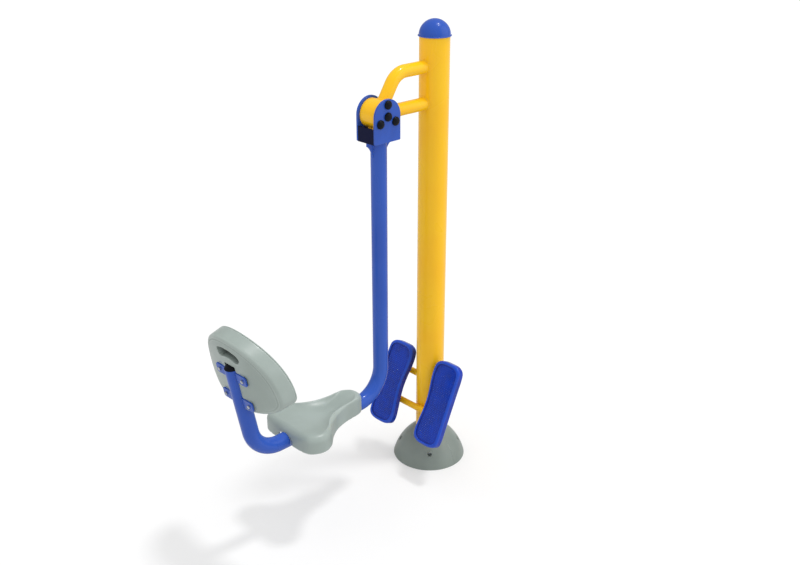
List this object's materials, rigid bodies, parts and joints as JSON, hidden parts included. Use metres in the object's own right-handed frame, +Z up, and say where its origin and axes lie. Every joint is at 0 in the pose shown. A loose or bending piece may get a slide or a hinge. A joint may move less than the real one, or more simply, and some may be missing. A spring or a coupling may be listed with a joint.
{
  "type": "outdoor leg press machine",
  "caption": "Outdoor leg press: a seat with a backrest hangs on a bent tube from a pivot on a tall post and swings back as the rider pushes off fixed foot plates.",
  "frame": {"origin": "centre of the base flange's underside, on the ground at the post's axis", "axes": "+Z up along the post, +X from the seat towards the post, +Y to the seated rider's left"},
  "size_m": [1.1594, 0.412, 1.8451],
  "materials": {
    "post_yellow": "glossy powder coat",
    "arm_blue": "glossy powder coat",
    "cap_blue": "smooth moulded",
    "tread_blue": "moulded, slightly worn",
    "moulded_grey": "fine moulded texture",
    "plate_black": "satin powder coat",
    "black_plastic": "smooth moulded",
    "plated_steel": "zinc plated",
    "bearing_steel": "ground and oiled",
    "black_rubber": "matt"
  },
  "bodies": {
    "frame": {"post": "post_yellow", "post_cap": "cap_blue", "base_flange": "post_yellow", "base_ribs": "post_yellow", "cover_tabs": "post_yellow", "base_cover_rear": "moulded_grey", "base_cover_front": "moulded_grey", "cover_screws": "plated_steel", "upper_arm": "post_yellow", "lower_arm": "post_yellow", "bearing_barrel": "post_yellow", "bearing_carriers": "plated_steel", "bearing_outer_rings": "bearing_steel", "stop_block": "post_yellow", "pedal_bar_lower": "post_yellow", "pedal_bar_upper": "post_yellow", "bar_plugs": "black_plastic", "pedal_plate_left": "post_yellow", "pedal_plate_right": "post_yellow", "pedal_left": "tread_blue", "pedal_right": "tread_blue", "pedal_bolts": "plated_steel"},
    "swing_arm": {"pivot_axle": "bearing_steel", "hub_flanges": "plated_steel", "bearing_inner_rings": "bearing_steel", "bearing_balls": "bearing_steel", "yoke_plate_left": "arm_blue", "yoke_plate_right": "arm_blue", "yoke_base_plate": "arm_blue", "yoke_back_plate": "plate_black", "yoke_front_bar": "arm_blue", "rest_buffer": "black_rubber", "limit_buffer": "black_rubber", "yoke_gussets": "arm_blue", "flange_bolts": "plated_steel", "axle_bolts": "plated_steel", "bolt_caps": "black_plastic", "swing_tube": "arm_blue", "tube_plug": "black_plastic", "seat_brackets": "arm_blue", "seat": "moulded_grey", "seat_bolts": "plated_steel", "back_bracket_upper": "arm_blue", "back_bracket_lower": "arm_blue", "back_bolts": "plated_steel", "backrest_shell": "moulded_grey", "backrest_front": "moulded_grey"}
  },
  "joints": [
    {"name": "swing", "type": "hinge", "parent": "frame", "child": "swing_arm", "pos_m": [-0.285, 0, 1.543], "axis": [0, 1, 0], "range_deg": [0, 30]}
  ]
}
